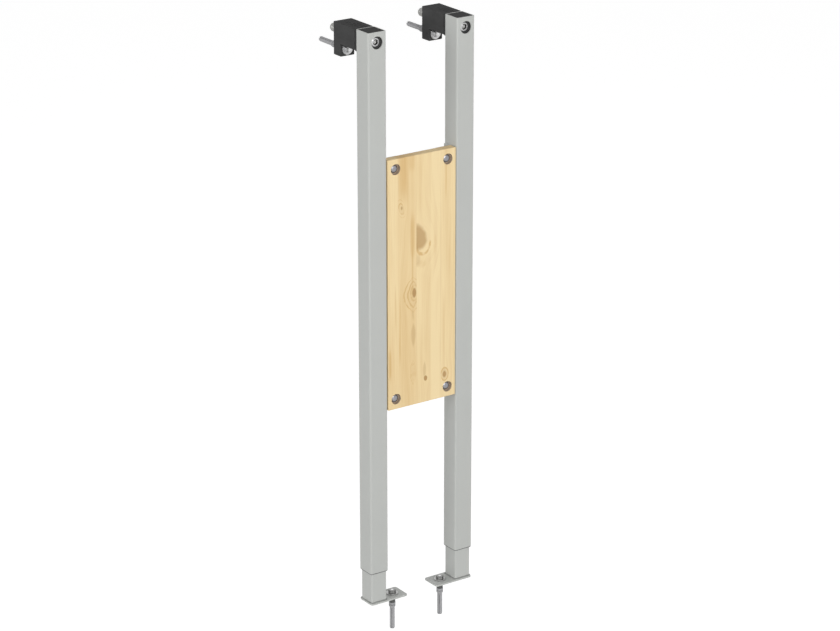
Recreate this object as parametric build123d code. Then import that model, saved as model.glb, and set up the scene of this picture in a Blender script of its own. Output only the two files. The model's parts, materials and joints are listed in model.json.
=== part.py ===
from build123d import *
import os

# Pre-wall installation frame: two square uprights on telescopic feet, a timber fixing board between
# them and a depth-adjustable wall bracket behind each top end. Millimetres, +Z up, +X from the left
# upright to the right one, +Y from the front towards the wall.
# The origin lies on the floor, on the left upright's axis.

# Upright tubes
upright_spacing = 197.0
upright_length = 1069.0
tube_size = 40.0
tube_wall = 2.0
tube_corner = 3.5

# Telescopic feet
foot_extension = 66.0
foot_tube_length = 350.0
foot_tube_wall = 2.0
foot_tube_corner = 3.0
foot_clearance = 0.5
plate_length = 84.0
plate_thickness = 3.0
plate_corner = 5.0
plate_rim = 4.0
plate_end_rim = 2.0
weld_width = 1.8
weld_height = 1.8
weld_taper = 38.0
floor_screw_offset = 42.0

# Screws, washers and dowels
screw_diameter = 6.0
screw_in_dowel = 58.0
screw_head_flats = 13.0
screw_head_height = 6.0
washer_thickness = 2.0
washer_clearance = 0.4
floor_washer_diameter = 24.0
wall_washer_diameter = 22.0
dowel_diameter = 10.0
dowel_collar_diameter = 13.0
dowel_collar_length = 22.7
dowel_bore_clearance = 0.3
dowel_lip_gap = 0.3
anchor_hole_clearance = 0.5
dowel_groove_width = 1.6
dowel_groove_depth = 0.9
dowel_groove_count = 4
dowel_tip_length = 6.0
dowel_tip_diameter = 7.6
floor_dowel_length = 71.0
wall_dowel_length = 68.0

# Spindle and the top insert that carries it
spindle_drop = 20.0
spindle_diameter = 17.0
spindle_length = 142.0
spindle_recess = 5.5
spindle_end_round = 6.0
spindle_clearance = 0.4
socket_flats = 10.0
socket_depth = 8.0
spindle_hole = 24.0
insert_height = 42.0
insert_clearance = 0.3
insert_corner = 1.6
recess_diameter = 23.0

# Depth guide behind each upright
collar_width = 37.0
collar_height = 41.5
collar_depth = 4.2
collar_corner = 1.0
neck_clearance = 0.3
tongue_length = 43.0
tongue_height = 34.0
tongue_clearance = 0.5
tongue_corner = 1.0

# Wall bracket
wall_distance = 93.0
bracket_wall = 3.0
bracket_height = 40.0
bracket_corner = 1.2
bracket_seat_gap = 0.3
block_depth = 21.0
lug_width = 31.0
lug_drop = 63.0
lug_corner = 2.0
wall_screw_drop = 50.0
top_groove_width = 3.0
top_groove_depth = 0.8
top_groove_length = 34.0
top_groove_pitch = 6.5
top_groove_count = 3
dimple_diameter = 9.0
dimple_depth = 0.6
dimple_inset = 27.0

# Fixing board and what carries it
board_length = 494.0
board_thickness = 18.0
board_drop = 246.0
board_gap = 1.5
board_edge = 1.0
board_arris = 0.6
bolt_side_inset = 18.0
bolt_end_inset = 20.0
counterbore_diameter = 21.0
counterbore_depth = 7.0
bolt_diameter = 8.0
bolt_clearance = 0.3
bolt_head_diameter = 16.0
bolt_head_height = 4.0
bolt_head_round = 3.4
bolt_tail = 3.0
nut_flats = 13.0
nut_height = 6.5
lug_thickness = 3.0
angle_height = 38.0
angle_back_leg = 34.0

# Places worked out from the sizes
half_tube = tube_size / 2
tube_top = foot_extension + upright_length
front_face = -half_tube
back_face = half_tube
spindle_height = tube_top - spindle_drop
tube_bore = tube_size - 2 * tube_wall
foot_tube_size = tube_bore - 2 * foot_clearance
plate_width = foot_tube_size + 2 * plate_rim
anchor_hole = dowel_collar_diameter + 2 * anchor_hole_clearance
spindle_bore = spindle_diameter + 2 * spindle_clearance
spindle_front = front_face + spindle_recess
collar_back = back_face + collar_depth
bracket_front = collar_back + bracket_seat_gap
bracket_width = tube_size
block_front = wall_distance - block_depth
wall_screw_height = tube_top - wall_screw_drop
wall_screw_x = -bracket_width / 2 + lug_width / 2
board_width = upright_spacing - tube_size - 2 * board_gap
board_top = tube_top - board_drop
board_bottom = board_top - board_length
board_left = half_tube + board_gap
board_right = board_left + board_width
board_back = front_face + board_thickness
bolt_rows = {"lower": board_bottom + bolt_end_inset, "upper": board_top - bolt_end_inset}
sides = {"left": 0.0, "right": upright_spacing}
inward = {"left": 1, "right": -1}


def span(x, y, z):
    """Return a box that runs between the low and high value of each pair."""
    size = [high - low for low, high in (x, y, z)]
    centre = [(high + low) / 2 for low, high in (x, y, z)]
    return Pos(*centre) * Box(*size)


def upward(sketch, low, high):
    """Return the sketch, drawn in plan, as a prism between two heights."""
    return extrude(Pos(0, 0, low) * sketch, high - low)


def backward(sketch, near, far):
    """Return the sketch, drawn on the front view's X and Z, as a prism from near to far in Y."""
    return extrude(Plane.XZ.offset(-near) * sketch, -(far - near))


def hexagon(flats):
    """Return a hexagon by its width across flats."""
    return RegularPolygon(flats / 2, 6, major_radius=False)


def square_tube(size, wall, corner, low, high):
    """Return an upright square tube with round corners and an open bore."""
    outer = RectangleRounded(size, size, corner)
    bore = RectangleRounded(size - 2 * wall, size - 2 * wall, max(corner - wall, wall / 2))
    return upward(outer - bore, low, high)


def on_wall(x):
    """Place a fastener that is drawn pointing down so that it points at the wall instead."""
    return Pos(x + wall_screw_x, wall_distance, wall_screw_height) * Rot(90, 0, 0)


def upright():
    """Square tube with a round hole in front and behind for the spindle."""
    tube = square_tube(tube_size, tube_wall, tube_corner, foot_extension, tube_top)
    hole = Pos(0, spindle_height) * Circle(spindle_hole / 2)
    return tube - backward(hole, front_face - 1, back_face + 1)


def top_insert():
    """Plastic block in the tube's open top, bored for the spindle and recessed in front."""
    size = tube_bore - 2 * insert_clearance
    block = upward(RectangleRounded(size, size, insert_corner), tube_top - insert_height, tube_top)
    axis = Pos(0, spindle_height)
    bore = backward(axis * Circle(spindle_bore / 2), -size, size)
    recess = backward(axis * Circle(recess_diameter / 2), -size, spindle_front)
    return block - bore - recess


def depth_guide():
    """Collar behind the tube with a neck into its rear hole and a tongue inside the bracket."""
    axis = Pos(0, spindle_height)
    collar_top = tube_top - bracket_seat_gap
    collar_sketch = Pos(0, collar_top - collar_height / 2) * RectangleRounded(
        collar_width, collar_height, collar_corner)
    collar = backward(collar_sketch, back_face, collar_back)
    neck = backward(axis * Circle(spindle_hole / 2 - neck_clearance), back_face - tube_wall, back_face)
    width = bracket_width - 2 * bracket_wall - 2 * tongue_clearance
    tongue_top = tube_top - bracket_wall - tongue_clearance
    tongue_sketch = Pos(0, tongue_top - tongue_height / 2) * RectangleRounded(
        width, tongue_height, tongue_corner)
    tongue = backward(tongue_sketch, collar_back, collar_back + tongue_length)
    bore = backward(axis * Circle(spindle_bore / 2), front_face, wall_distance)
    return collar + neck + tongue - bore


def depth_spindle():
    """Steel spindle with a hexagon socket at the front and a domed rear end."""
    axis = Pos(0, spindle_height)
    far = spindle_front + spindle_length
    rod = backward(axis * Circle(spindle_diameter / 2), spindle_front, far)
    rod = fillet(rod.edges().sort_by(Axis.Y)[-1], spindle_end_round)
    socket = backward(axis * hexagon(socket_flats), spindle_front - 1, spindle_front + socket_depth)
    return rod - socket


def wall_bracket():
    """Arm open underneath, a solid block that the spindle passes, and an offset screw lug."""
    arm_centre = tube_top - bracket_height / 2
    outline = Pos(0, arm_centre) * RectangleRounded(bracket_width, bracket_height, bracket_corner)
    body = backward(outline, bracket_front, wall_distance)
    inside = span(
        (-bracket_width / 2 + bracket_wall, bracket_width / 2 - bracket_wall),
        (bracket_front - 1, block_front),
        (tube_top - bracket_height - 1, tube_top - bracket_wall))
    lug_height = lug_drop - bracket_height / 2
    lug_sketch = Pos(wall_screw_x, tube_top - lug_drop + lug_height / 2) * RectangleRounded(
        lug_width, lug_height, lug_corner)
    lug = backward(lug_sketch, block_front, wall_distance)
    bore = backward(Pos(0, spindle_height) * Circle(spindle_bore / 2), bracket_front, wall_distance + 1)
    hole_sketch = Pos(wall_screw_x, wall_screw_height) * Circle(anchor_hole / 2)
    hole = backward(hole_sketch, block_front - 1, wall_distance + 1)
    return body - inside + lug - bore - hole - top_marks()


def top_marks():
    """Short grooves on the arm's top at the tube's end, and a round dimple behind them."""
    marks = []
    for place in range(top_groove_count):
        x = (place - (top_groove_count - 1) / 2) * top_groove_pitch
        marks.append(span(
            (x - top_groove_width / 2, x + top_groove_width / 2),
            (bracket_front - 1, bracket_front + top_groove_length),
            (tube_top - top_groove_depth, tube_top + 1)))
    dimple = upward(Circle(dimple_diameter / 2), tube_top - dimple_depth, tube_top + 1)
    marks.append(Pos(wall_screw_x, wall_distance - dimple_inset, 0) * dimple)
    return marks


def hex_screw(grip):
    """Hexagon-head screw; its head starts at the grip height and its shank ends in the dowel."""
    head = upward(hexagon(screw_head_flats), grip, grip + screw_head_height)
    crown = Pos(0, 0, grip) * Cone(
        screw_head_flats * 0.8, screw_head_flats * 0.42, screw_head_height * 1.35,
        align=(Align.CENTER, Align.CENTER, Align.MIN))
    shank = upward(Circle(screw_diameter / 2), -screw_in_dowel, grip)
    return (head & crown) + shank


def washer(diameter, seat):
    """Flat washer that lies on a seat height."""
    hole = screw_diameter / 2 + washer_clearance
    return upward(Circle(diameter / 2) - Circle(hole), seat, seat + washer_thickness)


def dowel(length):
    """Plastic wall plug: a smooth collar, a grooved body and a tapered closed tip."""
    mouth = -dowel_lip_gap
    collar_end = mouth - dowel_collar_length
    tip_start = -length + dowel_tip_length
    collar = upward(Circle(dowel_collar_diameter / 2), collar_end, mouth)
    body = upward(Circle(dowel_diameter / 2), tip_start, collar_end)
    tip = Pos(0, 0, -length) * Cone(
        dowel_tip_diameter / 2, dowel_diameter / 2, dowel_tip_length,
        align=(Align.CENTER, Align.CENTER, Align.MIN))
    grooves = []
    for turn in range(dowel_groove_count):
        groove = span(
            (dowel_diameter / 2 - dowel_groove_depth, dowel_diameter),
            (-dowel_groove_width / 2, dowel_groove_width / 2),
            (-length - 1, collar_end - dowel_groove_width))
        grooves.append(Rot(0, 0, 45 + 360 * turn / dowel_groove_count) * groove)
    bore_radius = screw_diameter / 2 + dowel_bore_clearance
    bore = upward(Circle(bore_radius), -screw_in_dowel - dowel_bore_clearance, mouth + 1)
    return collar + body + tip - grooves - bore


def foot_tube():
    """Inner tube that slides in the upright."""
    return square_tube(
        foot_tube_size, foot_tube_wall, foot_tube_corner,
        plate_thickness, plate_thickness + foot_tube_length)


def foot_plate():
    """Plate under the left foot with its screw hole and the weld bead round the tube."""
    near_end = -foot_tube_size / 2 - plate_end_rim
    centre = near_end + plate_length / 2
    sheet = upward(Pos(centre, 0) * RectangleRounded(plate_length, plate_width, plate_corner),
                   0, plate_thickness)
    hole = upward(Pos(floor_screw_offset, 0) * Circle(anchor_hole / 2), -1, plate_thickness + 1)
    bead_size = foot_tube_size + 2 * weld_width
    outer = RectangleRounded(bead_size, bead_size, foot_tube_corner + weld_width)
    bead = extrude(Pos(0, 0, plate_thickness) * outer, weld_height, taper=weld_taper)
    inner = RectangleRounded(foot_tube_size, foot_tube_size, foot_tube_corner)
    bead -= upward(inner, plate_thickness, plate_thickness + weld_height)
    return sheet - hole + bead


def fixing_board():
    """Timber board, flush with the uprights' front faces, counterbored for its bolts."""
    middle = (board_left + board_right) / 2, (board_bottom + board_top) / 2
    outline = Pos(*middle) * RectangleRounded(board_width, board_length, board_edge)
    board = backward(outline, front_face, board_back)
    flat_edges = board.edges().group_by(Axis.Y)
    board = chamfer(flat_edges[0] + flat_edges[-1], board_arris)
    for side in sides:
        for height in bolt_rows.values():
            place = Pos(bolt_x(side), height)
            board -= backward(place * Circle(counterbore_diameter / 2), front_face - 1,
                              front_face + counterbore_depth)
            board -= backward(place * Circle(bolt_diameter / 2 + bolt_clearance), front_face,
                              board_back + 1)
    return board


def bolt_x(side):
    """X of a side's board bolts."""
    edge = board_left if side == "left" else board_right
    return edge + inward[side] * bolt_side_inset


def board_bolt(side, height):
    """Dome-head bolt sunk in the board's counterbore."""
    shank_end = board_thickness - counterbore_depth + lug_thickness + nut_height + bolt_tail
    head = upward(Circle(bolt_head_diameter / 2), 0, bolt_head_height)
    head = fillet(head.edges().sort_by(Axis.Z)[-1], bolt_head_round)
    shank = upward(Circle(bolt_diameter / 2), -shank_end, 0)
    place = Pos(bolt_x(side), front_face + counterbore_depth, height) * Rot(90, 0, 0)
    return place * (head + shank)


def board_nut(side, height):
    """Hexagon nut behind the angle lug."""
    place = Pos(bolt_x(side), height)
    seat = board_back + lug_thickness
    ring = hexagon(nut_flats) - Circle(bolt_diameter / 2 + bolt_clearance)
    return backward(place * ring, seat, seat + nut_height)


def board_angle(side, height):
    """Angle lug welded to the upright's inner face, with one leg behind the board."""
    face = sides[side] + inward[side] * half_tube
    low, high = height - angle_height / 2, height + angle_height / 2
    near_x = sorted((face, face + inward[side] * lug_thickness))
    long_x = sorted((face, face + inward[side] * angle_back_leg))
    side_leg = span(near_x, (board_back, back_face - tube_corner), (low, high))
    back_leg = span(long_x, (board_back, board_back + lug_thickness), (low, high))
    hole = Pos(bolt_x(side), height) * Circle(bolt_diameter / 2 + bolt_clearance)
    return side_leg + back_leg - backward(hole, board_back - 1, board_back + lug_thickness + 1)


def side_pieces(side):
    """Return the pieces of one upright, its foot and its wall bracket, by node name."""
    x = sides[side]
    across = Pos(x, 0, 0)
    foot = across if side == "left" else across * Rot(0, 0, 180)
    under = foot * Pos(floor_screw_offset, 0, 0)
    floor_grip = plate_thickness + washer_thickness
    wall_grip = block_depth + washer_thickness
    return {
        f"{side}_upright": across * upright(),
        f"{side}_top_insert": across * top_insert(),
        f"{side}_depth_guide": across * depth_guide(),
        f"{side}_depth_spindle": across * depth_spindle(),
        f"{side}_wall_bracket": across * wall_bracket(),
        f"{side}_wall_screw": on_wall(x) * hex_screw(wall_grip),
        f"{side}_wall_washer": on_wall(x) * washer(wall_washer_diameter, block_depth),
        f"{side}_wall_dowel": on_wall(x) * dowel(wall_dowel_length),
        f"{side}_foot_tube": foot * foot_tube(),
        f"{side}_foot_plate": foot * foot_plate(),
        f"{side}_floor_screw": under * hex_screw(floor_grip),
        f"{side}_floor_washer": under * washer(floor_washer_diameter, plate_thickness),
        f"{side}_floor_dowel": under * dowel(floor_dowel_length),
    }


def board_pieces():
    """Return the board and the bolts, nuts and angle lugs that hold it, by node name."""
    pieces = {"fixing_board": fixing_board()}
    for side in sides:
        for row, height in bolt_rows.items():
            pieces[f"{side}_{row}_board_bolt"] = board_bolt(side, height)
            pieces[f"{side}_{row}_board_nut"] = board_nut(side, height)
            pieces[f"{side}_{row}_board_angle"] = board_angle(side, height)
    return pieces


def main():
    """Write one file for each piece."""
    os.makedirs("parts", exist_ok=True)
    pieces = board_pieces()
    for side in sides:
        pieces.update(side_pieces(side))
    for name, piece in pieces.items():
        export_step(piece, f"parts/{name}.step")


main()
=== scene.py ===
import json
import math
from collections import namedtuple

import bpy
import numpy as np
from bpy.props import FloatProperty, FloatVectorProperty, PointerProperty
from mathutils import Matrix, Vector


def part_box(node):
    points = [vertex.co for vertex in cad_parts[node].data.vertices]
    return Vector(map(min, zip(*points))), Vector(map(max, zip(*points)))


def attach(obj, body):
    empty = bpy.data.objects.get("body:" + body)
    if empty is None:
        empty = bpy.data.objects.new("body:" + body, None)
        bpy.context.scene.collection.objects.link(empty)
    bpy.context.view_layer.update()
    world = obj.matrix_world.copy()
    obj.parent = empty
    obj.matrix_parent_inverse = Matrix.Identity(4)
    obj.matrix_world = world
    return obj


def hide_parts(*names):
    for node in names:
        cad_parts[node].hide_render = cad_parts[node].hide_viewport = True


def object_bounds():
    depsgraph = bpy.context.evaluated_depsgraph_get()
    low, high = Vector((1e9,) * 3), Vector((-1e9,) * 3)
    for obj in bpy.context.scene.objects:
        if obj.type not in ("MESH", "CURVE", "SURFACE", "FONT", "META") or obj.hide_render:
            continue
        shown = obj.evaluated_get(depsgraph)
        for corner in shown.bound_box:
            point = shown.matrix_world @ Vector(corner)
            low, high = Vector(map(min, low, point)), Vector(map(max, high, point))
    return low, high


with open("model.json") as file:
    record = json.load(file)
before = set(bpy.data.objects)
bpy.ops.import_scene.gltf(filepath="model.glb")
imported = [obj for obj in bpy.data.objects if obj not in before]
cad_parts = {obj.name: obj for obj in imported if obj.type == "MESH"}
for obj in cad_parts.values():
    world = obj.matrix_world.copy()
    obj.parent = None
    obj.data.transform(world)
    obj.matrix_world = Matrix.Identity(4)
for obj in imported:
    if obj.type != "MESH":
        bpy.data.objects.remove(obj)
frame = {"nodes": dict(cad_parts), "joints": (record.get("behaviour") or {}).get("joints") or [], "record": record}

bl_info = {
    "name": "Pre-wall frame finishes",
    "version": (1, 0, 0),
    "blender": (4, 5, 0),
    "location": "View3D > Sidebar > Wall frame",
    "description": "Dresses a pre-wall installation frame with its coat, timber, fasteners and studio",
    "category": "Object",
}

cad_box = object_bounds()
SIDES = ("left", "right")
ROWS = ("lower", "upper")
MM = 0.001

# Local frames of the fasteners: across, up or across, and the way the head faces.
FLOOR_FRAME = np.array([(1, 0, 0), (0, 1, 0), (0, 0, 1)], float)
FRONT_FRAME = np.array([(1, 0, 0), (0, 0, 1), (0, -1, 0)], float)
WALL_FRAME = np.array([(1, 0, 0), (0, 0, -1), (0, 1, 0)], float)

# A knot lies in one of the four glued boards. Its place is in millimetres from the whole board's
# left lower corner, with the half sizes of its outline and its lean. Then come how dark it is, how
# much its rings show, how many rings it has out to its outline, how far out they go, and its form:
# a soft oval, a core with a crisp edge, a pointed eye, or a bow that shows only at its lower right.
Knot = namedtuple("Knot", "lamella across up half_width half_height lean dark rings count reach form")
KNOTS = (
    Knot(1, 30.5, 396.0, 7.5, 15.0, 0.20, 0.15, 0.90, 1.8, 1.10, "oval"),
    Knot(1, 31.5, 397.0, 2.6, 4.5, 0.00, 0.80, 0.00, 1.0, 1.00, "oval"),
    Knot(2, 65.5, 334.0, 23.0, 28.5, 0.22, 0.90, 0.00, 1.0, 1.00, "core"),
    Knot(2, 80.0, 318.0, 15.5, 20.5, 0.00, 0.00, 1.15, 1.25, 1.25, "bow"),
    Knot(2, 80.0, 325.0, 28.0, 46.0, 0.00, 0.00, 0.25, 1.25, 1.20, "bow"),
    Knot(2, 67.5, 288.0, 8.0, 14.0, 0.00, 0.25, 0.00, 1.0, 1.00, "oval"),
    Knot(1, 57.0, 222.0, 20.5, 35.0, 0.00, 0.10, 0.90, 2.25, 1.10, "eye"),
    Knot(1, 59.5, 225.0, 4.6, 10.0, 0.00, 1.15, 0.00, 1.0, 1.00, "core"),
    Knot(1, 59.5, 225.0, 8.0, 15.0, 0.00, 0.00, 0.85, 1.25, 1.20, "oval"),
    Knot(1, 56.5, 182.0, 2.2, 14.0, 0.05, 0.30, 0.00, 1.0, 1.00, "oval"),
    Knot(1, 57.3, 142.0, 7.0, 27.0, 0.00, 0.42, 0.00, 1.0, 1.00, "eye"),
    Knot(1, 56.5, 66.0, 6.5, 25.0, 0.00, 0.04, 0.90, 2.25, 1.10, "eye"),
    Knot(2, 85.3, 48.2, 4.2, 5.8, 0.00, 1.60, 0.00, 1.0, 1.00, "core"),
    Knot(2, 83.0, 64.0, 4.6, 21.0, 0.00, 0.35, 0.00, 1.0, 1.00, "eye"),
    Knot(3, 129.5, 46.7, 8.0, 13.0, 0.00, 0.45, 1.40, 1.25, 1.20, "oval"),
    Knot(3, 129.0, 46.7, 4.0, 6.4, 0.00, 0.65, 0.00, 1.0, 1.00, "core"),
)

# A streak is a long faint band of late wood: board, place across, middle, half width, half height,
# and how dark it is.
Streak = namedtuple("Streak", "lamella across up half_width half_height dark")
STREAKS = (
    Streak(1, 34.0, 463.0, 11.5, 50.0, 0.60),
    Streak(1, 54.0, 484.0, 7.0, 18.0, 0.30),
    Streak(1, 56.0, 338.0, 5.0, 40.0, 0.60),
    Streak(1, 55.5, 280.0, 1.8, 45.0, 0.45),
    Streak(0, 17.0, 205.0, 1.5, 40.0, 0.35),
    Streak(0, 13.0, 110.0, 12.0, 110.0, 0.20),
    Streak(1, 27.0, 150.0, 1.8, 60.0, 0.40),
    Streak(1, 42.0, 95.0, 17.0, 120.0, 0.20),
    Streak(2, 78.0, 60.0, 13.0, 95.0, 0.16),
    Streak(2, 72.0, 440.0, 7.0, 60.0, 0.20),
    Streak(0, 4.5, 92.0, 2.6, 30.0, 0.65),
    Streak(3, 131.6, 445.0, 2.6, 45.0, 0.32),
    Streak(3, 127.5, 130.0, 3.0, 75.0, 0.35),
    Streak(3, 141.0, 250.0, 2.6, 90.0, 0.18),
    Streak(2, 108.0, 330.0, 4.0, 60.0, 0.16),
)
# How warm each of the four glued boards is, from left to right.
LAMELLA_TONES = (0.13, 0.27, 0.16, 0.17)


def colour(name, text, default):
    """Return a colour property."""
    return FloatVectorProperty(name=name, description=text, subtype="COLOR", size=3, min=0, max=1,
                               default=default)


def length(name, text, default):
    """Return a length property with its default in millimetres."""
    return FloatProperty(name=name, description=text, unit="LENGTH", default=default * MM, precision=5)


def share(name, text, default):
    """Return a property between nothing and everything."""
    return FloatProperty(name=name, description=text, subtype="FACTOR", min=0, max=1, default=default)


class CoatSettings(bpy.types.PropertyGroup):
    """Finishes of the steel and the plastic pieces."""
    coat: colour("Powder coat", "Colour of the coated steel", (0.505, 0.517, 0.497))
    coat_roughness: share("Coat roughness", "How matt the coat is", 0.42)
    peel_size: length("Peel size", "Width of the coat's fine dimples", 1.1)
    # The weld colour paints the shade in the crease between the foot tubes and plates and along the lugs.
    weld: colour("Weld", "Colour of the weld beads, darkened as painted shade", (0.235, 0.24, 0.23))
    plastic: colour("Black plastic", "Colour of brackets, guides and inserts", (0.070, 0.070, 0.070))
    # The sleeve colour is near black to paint the shade line under each upright's rim.
    sleeve: colour("Sleeve", "Colour of the sleeves that the feet slide in", (0.12, 0.12, 0.12))
    plastic_roughness: share("Plastic roughness", "How matt the moulded pieces are", 0.55)
    zinc: colour("Zinc", "Colour of the plated spindles and wall screws", (0.60, 0.60, 0.605))
    # Washer and floor zinc are darker copies of the wall zinc: painted shade on the floor anchors.
    washer: colour("Washer", "Colour of the floor washers", (0.42, 0.42, 0.415))
    # The crown colour paints a highlight on the middle of each screw head's top.
    crown: colour("Crown", "Colour of the painted highlight on the screw heads' crowns", (0.86, 0.86, 0.86))
    floor_zinc_shade: colour("Floor zinc", "Colour of the floor screws, darkened as painted shade", (0.27, 0.27, 0.265))
    # Thread and recess paint shade: darker zinc on the spindles' threads and socket floors, near black on the
    # socket walls.
    thread: colour("Thread", "Colour of the painted shade on the spindles' threads and sockets", (0.32, 0.32, 0.31))
    socket_shade: colour("Recess", "Colour of the painted shade on the sockets' walls", (0.055, 0.055, 0.055))
    zinc_roughness: share("Zinc roughness", "How dull the plating is", 0.28)
    bolt: colour("Bolt steel", "Colour of the board's bolts", (0.30, 0.30, 0.32))
    nylon: colour("Plug nylon", "Colour of the wall plugs", (0.375, 0.375, 0.385))
    # Plug shade paints the foot plate's shadow on the floor plugs' upper collars and the shade in their grooves.
    plug_shade: colour("Plug shade", "Colour of the painted shade on the plugs' rims and grooves", (0.075, 0.077, 0.075))
    nylon_roughness: share("Nylon roughness", "How matt the plugs are", 0.48)


class TimberSettings(bpy.types.PropertyGroup):
    """Tones and grain of the edge-glued pine board."""
    pale: colour("Pale wood", "Colour of the early wood", (0.905, 0.722, 0.420))
    warm: colour("Warm wood", "Colour of the late wood", (0.725, 0.495, 0.225))
    knot: colour("Knot wood", "Colour of the knots", (0.49, 0.30, 0.125))
    # The bored wood colour paints shade into the bolt holes on top of the cut fibres' darker tone.
    bore: colour("Bored wood", "Colour of the cut fibres and painted shade inside the bolt holes", (0.45, 0.35, 0.26))
    first_joint: length("First joint", "Distance of the first glue joint from the left edge", 23.5)
    second_joint: length("Second joint", "Distance of the second glue joint from the left edge", 64.6)
    third_joint: length("Third joint", "Distance of the third glue joint from the left edge", 119.2)
    light_band: length("Light band", "Where the third board's pale sapwood starts", 98.5)
    ring_width: length("Ring width", "Usual distance between growth rings", 2.6)
    grain_roughness: share("Timber roughness", "How matt the planed timber is", 0.62)


class FastenerSettings(bpy.types.PropertyGroup):
    """Forms of the screws, washers, plugs, bolts and spindles."""
    bolt_pitch: length("Bolt pitch", "Pitch of the board bolts' thread", 1.25)
    bolt_thread_depth: length("Bolt thread depth", "Depth of the board bolts' thread", 0.55)
    spindle_pitch: length("Spindle pitch", "Pitch of the depth spindles' thread", 4.0)
    spindle_thread_depth: length("Spindle thread depth", "Depth of the spindles' thread", 0.9)
    socket_flats: length("Socket flats", "Width across flats of the spindle's socket", 10.0)
    socket_depth: length("Socket depth", "Depth of the spindle's socket", 5.0)
    shank: length("Screw shank", "Diameter of the anchor screws' shank", 6.0)
    bolt_shank: length("Bolt shank", "Diameter of the board bolts' shank", 8.0)
    plug_bore: length("Plug bore", "Diameter of the plugs' bore", 6.6)
    plug_body: length("Plug body", "Diameter of the plugs' grooved body", 10.0)
    plug_collar_length: length("Plug collar", "Length of the plugs' collar", 24.2)
    plug_slot_depth: length("Plug slot depth", "Depth of the plugs' four slots", 1.8)
    edge: length("Edge", "Width of the small bevels on turned pieces", 0.18)


class WeldSettings(bpy.types.PropertyGroup):
    """Forms of the weld beads."""
    bead: length("Bead", "Radius of the beads round the feet", 1.9)
    lug_bead: length("Lug bead", "Radius of the beads along the angle lugs", 1.7)
    ripple: length("Ripple", "Distance between a bead's ripples", 2.2)
    tube_corner: length("Tube corner", "Corner radius of the foot tubes", 3.0)


class StudioSettings(bpy.types.PropertyGroup):
    """Camera, lamps and floor."""
    camera_place: FloatVectorProperty(
        name="Camera place", description="Where the camera stands", subtype="TRANSLATION",
        size=3, default=(-2.9585, -4.4267, 2.5141))
    heading: FloatProperty(
        name="Heading", description="Turn of the view from the wall's direction",
        subtype="ANGLE", default=math.radians(-34.7106))
    tilt: FloatProperty(
        name="Tilt", description="How far the view looks down", subtype="ANGLE",
        default=math.radians(19.9135))
    lens: FloatProperty(name="Lens", description="Focal length on a 36 mm film", default=129.7)
    key_place: FloatVectorProperty(name="Key place", description="Where the front lamp hangs",
                                   subtype="TRANSLATION", size=3, default=(-1.1, -5.6, 2.5))
    key_size: length("Key size", "Width of the front lamp", 1600.0)
    key_power: FloatProperty(name="Key", description="Power of the front lamp in watts", default=130.0)
    side_place: FloatVectorProperty(name="Side place", description="Where the left lamp hangs",
                                    subtype="TRANSLATION", size=3, default=(-5.8, -0.8, 2.2))
    side_size: length("Side size", "Width of the left lamp", 2000.0)
    side_power: FloatProperty(name="Side", description="Power of the left lamp in watts", default=80.0)
    round_level: FloatProperty(name="Round level", description="Light from all round", default=1.0)
    top_level: FloatProperty(name="Top level", description="Light from straight above", default=0.2)
    floor_lift: share("Floor glow", "How much of the floor's white doesn't depend on the lamps", 0.7)


def settings(name):
    """Return one of the scene's property groups."""
    return getattr(bpy.context.scene, name)


def set_range(node, numbers):
    """Set both ranges of a map range node."""
    for key, number in zip(("From Min", "From Max", "To Min", "To Max"), numbers):
        node.inputs[key].default_value = number


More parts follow.
